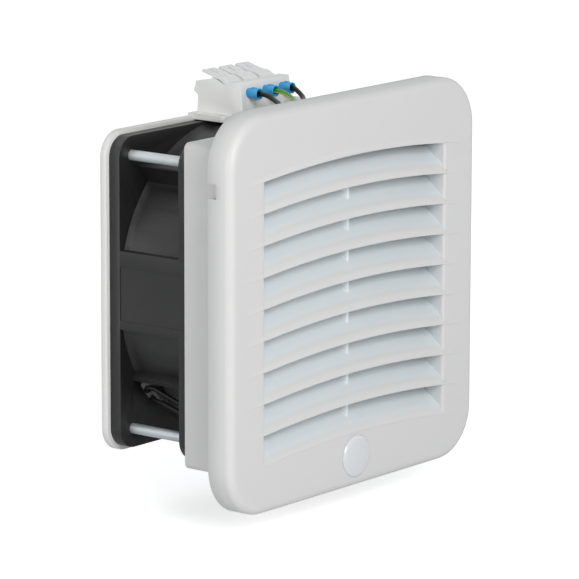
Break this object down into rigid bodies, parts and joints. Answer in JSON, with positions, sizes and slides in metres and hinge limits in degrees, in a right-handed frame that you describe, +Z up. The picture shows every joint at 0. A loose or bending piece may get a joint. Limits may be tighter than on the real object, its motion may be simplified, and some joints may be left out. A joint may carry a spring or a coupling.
{
  "type": "enclosure filter fan",
  "caption": "Filter fan for an enclosure door: tip-forward louvred cover, filter mat, base housing, axial fan with guard and a lever terminal block on its rear frame.",
  "frame": {"origin": "centre of the door cut-out, on the door's outer face", "axes": "+Y into the enclosure along the fan axis, +Z up, +X to the right seen from the front"},
  "size_m": [0.15, 0.0789, 0.1544],
  "materials": {
    "cover_plastic": "fine textured pale grey ABS",
    "badge_resin": "clear domed resin over a pale disc",
    "pin_steel": "plain steel wire",
    "foam": "closed cell foam",
    "frame_plastic": "fine textured light grey ABS",
    "mat_fibre": "fluffy synthetic fibre",
    "grid_plastic": "moulded grid",
    "fan_black": "black coated die casting",
    "grommet_grey": "dark grey moulding",
    "tube_brass": "turned brass",
    "bearing_steel": "ground bearing steel",
    "lamination": "stamped laminations",
    "bobbin_plastic": "natural polyester moulding",
    "copper": "enamelled and bare copper",
    "impeller_black": "glass filled plastic",
    "rotor_steel": "pressed steel cup",
    "zinc_steel": "zinc plated steel",
    "block_white": "white nylon",
    "lever_clear": "translucent white nylon",
    "ferrule_blue": "blue collars",
    "tinned_copper": "tinned copper",
    "wire_black": "black insulation",
    "wire_green_yellow": "green and yellow insulation"
  },
  "bodies": {
    "base": {"base_frame": "frame_plastic", "gasket": "foam", "filter_mat": "mat_fibre", "inlet_guard": "grid_plastic", "fan_frame": "fan_black", "lead_grommet": "grommet_grey", "bearing_tube": "tube_brass", "bearing_outer_rings": "bearing_steel", "preload_washer": "bearing_steel", "stator_core": "lamination", "stator_bobbins": "bobbin_plastic", "stator_coils": "copper", "shading_rings": "copper", "rear_frame": "frame_plastic", "outlet_guard": "grid_plastic", "fan_screws": "zinc_steel", "screw_washers": "zinc_steel", "fan_nuts": "zinc_steel", "terminal_block": "block_white", "contact_bars": "tinned_copper", "clamp_springs": "bearing_steel", "ferrules": "ferrule_blue", "ferrule_sleeves": "tinned_copper", "fan_lead_1": "wire_black", "fan_lead_2": "wire_black", "earth_wire": "wire_green_yellow", "earth_tab": "tinned_copper"},
    "cover": {"front_cover": "cover_plastic", "cover_badge": "badge_resin", "hinge_pins": "pin_steel"},
    "rotor": {"impeller": "impeller_black", "rotor_can": "rotor_steel", "rotor_ring": "lamination", "rotor_shaft": "bearing_steel", "bearing_inner_rings": "bearing_steel", "shaft_circlip": "rotor_steel"},
    "lever_1": {"terminal_lever_1": "lever_clear"},
    "lever_2": {"terminal_lever_2": "lever_clear"},
    "lever_3": {"terminal_lever_3": "lever_clear"}
  },
  "joints": [
    {"name": "cover_hinge", "type": "hinge", "parent": "base", "child": "cover", "pos_m": [0, -0.0021, -0.0734], "axis": [1, 0, 0], "range_deg": [0, 90]},
    {"name": "rotor_spin", "type": "hinge", "parent": "base", "child": "rotor", "pos_m": [0, 0.04, 0], "axis": [0, 1, 0], "continuous": true},
    {"name": "lever_1_press", "type": "hinge", "parent": "base", "child": "lever_1", "pos_m": [-0.0001, 0.04659, 0.07228], "axis": [1, 0, 0], "range_deg": [-12, 0], "stiffness_Nm_per_rad": 0.3, "springref_deg": 2.86},
    {"name": "lever_2_press", "type": "hinge", "parent": "base", "child": "lever_2", "pos_m": [0.0099, 0.04659, 0.07228], "axis": [1, 0, 0], "range_deg": [-12, 0], "stiffness_Nm_per_rad": 0.3, "springref_deg": 2.86},
    {"name": "lever_3_press", "type": "hinge", "parent": "base", "child": "lever_3", "pos_m": [0.0199, 0.04659, 0.07228], "axis": [1, 0, 0], "range_deg": [-12, 0], "stiffness_Nm_per_rad": 0.3, "springref_deg": 2.86}
  ]
}
